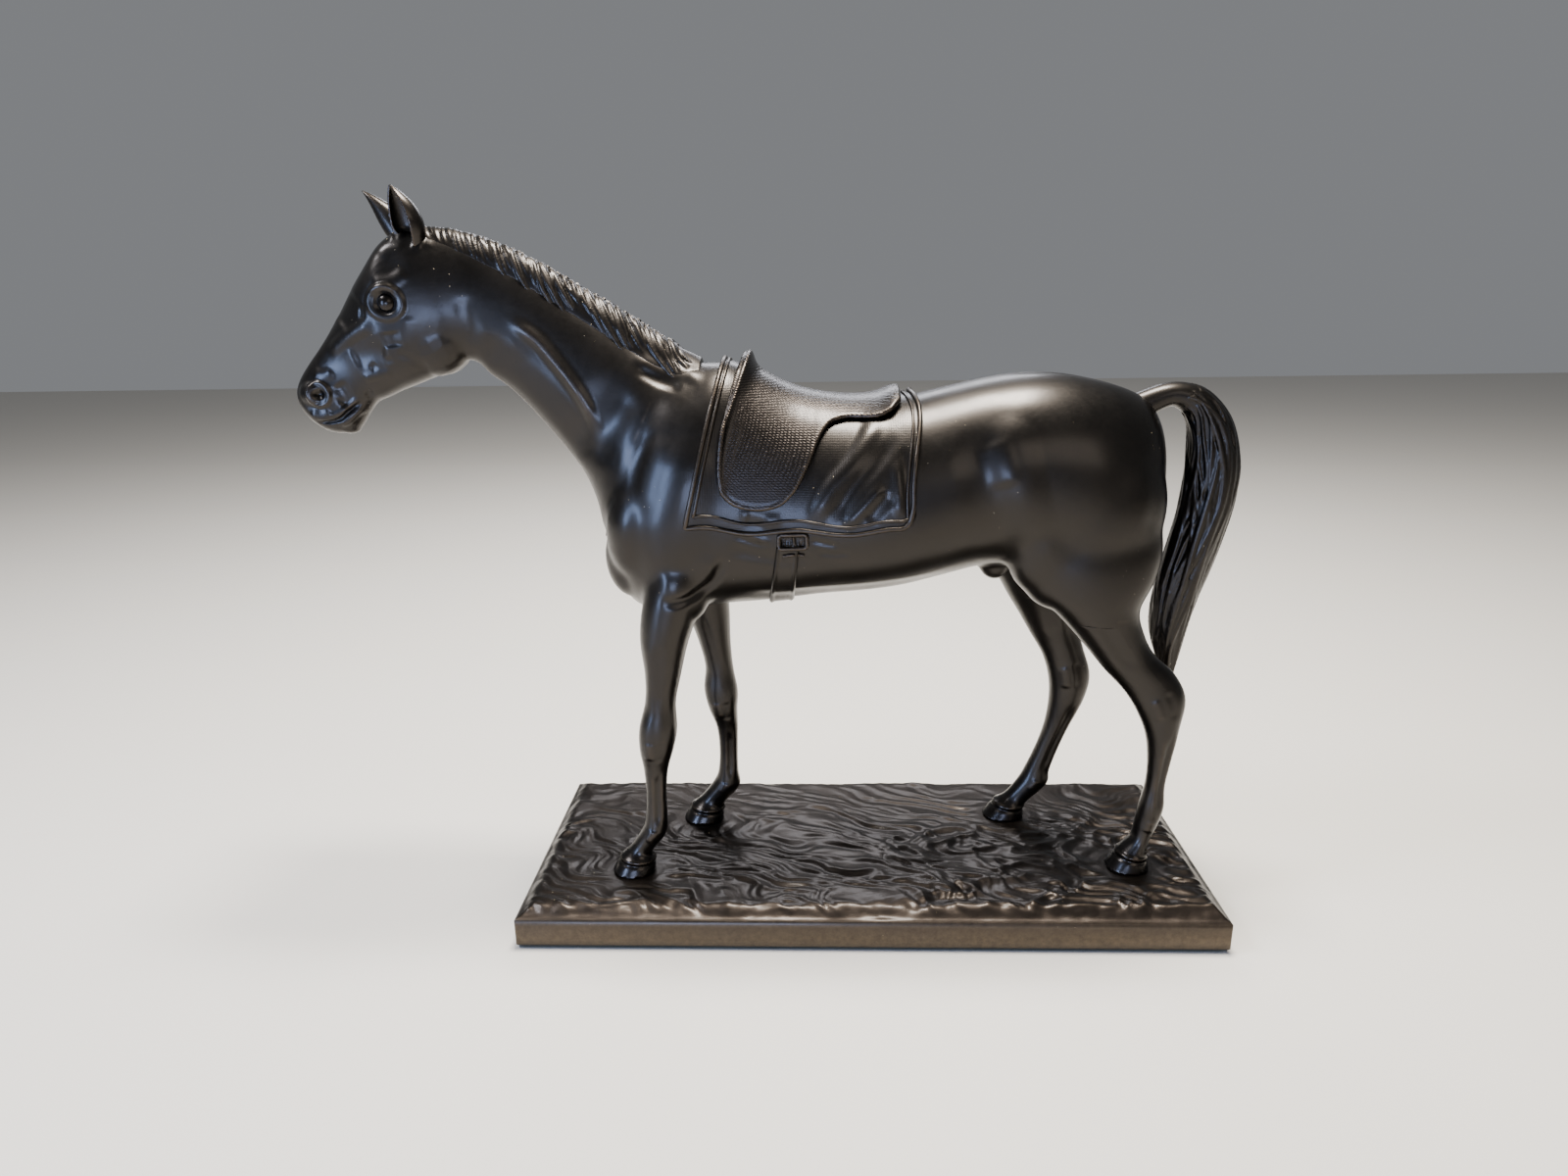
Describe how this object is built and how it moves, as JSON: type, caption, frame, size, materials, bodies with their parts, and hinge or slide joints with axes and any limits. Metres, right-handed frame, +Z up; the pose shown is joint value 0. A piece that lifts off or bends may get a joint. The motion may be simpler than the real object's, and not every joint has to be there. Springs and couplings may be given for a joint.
{
  "type": "horse statuette",
  "caption": "Standing saddled horse of dark patinated bronze on a rectangular plinth with modelled ground, cast in pieces joined by spigots and pins.",
  "frame": {"origin": "centre of the underside of the baize under the plinth, on the surface the statue stands on", "axes": "+X along the plinth from the horse's head to its tail, +Y from the horse's left side to its right side, +Z up"},
  "size_m": [0.4462, 0.14, 0.3508],
  "materials": {
    "horse_bronze": "dark brown patina, waxed satin",
    "hair_bronze": "dark brown patina with rubbed highs",
    "cloth_bronze": "dark brown patina over a modelled cloth grain",
    "saddle_bronze": "dark brown patina over a fine chased grain",
    "ground_bronze": "dark brown patina, rubbed on the waves of the ground",
    "joint_brass": "turned",
    "washer_steel": "zinc plated",
    "baize": "matt felt"
  },
  "bodies": {
    "root": {"baize_pad": "baize", "plinth_casting": "ground_bronze", "body_casting": "horse_bronze", "neck_head_casting": "horse_bronze", "mane": "hair_bronze", "left_ear": "horse_bronze", "right_ear": "horse_bronze", "left_foreleg": "horse_bronze", "right_foreleg": "horse_bronze", "left_hind_leg": "horse_bronze", "right_hind_leg": "horse_bronze", "tail": "hair_bronze", "saddle_cloth": "cloth_bronze", "cloth_binding": "cloth_bronze", "saddle": "saddle_bronze", "girth_strap": "saddle_bronze", "left_buckle": "saddle_bronze", "right_buckle": "saddle_bronze", "neck_sleeve": "joint_brass", "neck_pins": "joint_brass", "leg_pins": "joint_brass", "tail_pin": "joint_brass", "saddle_rivets": "joint_brass", "core_plugs": "horse_bronze", "hoof_studs": "joint_brass", "stud_washers": "washer_steel", "stud_nuts": "joint_brass"}
  },
  "joints": []
}
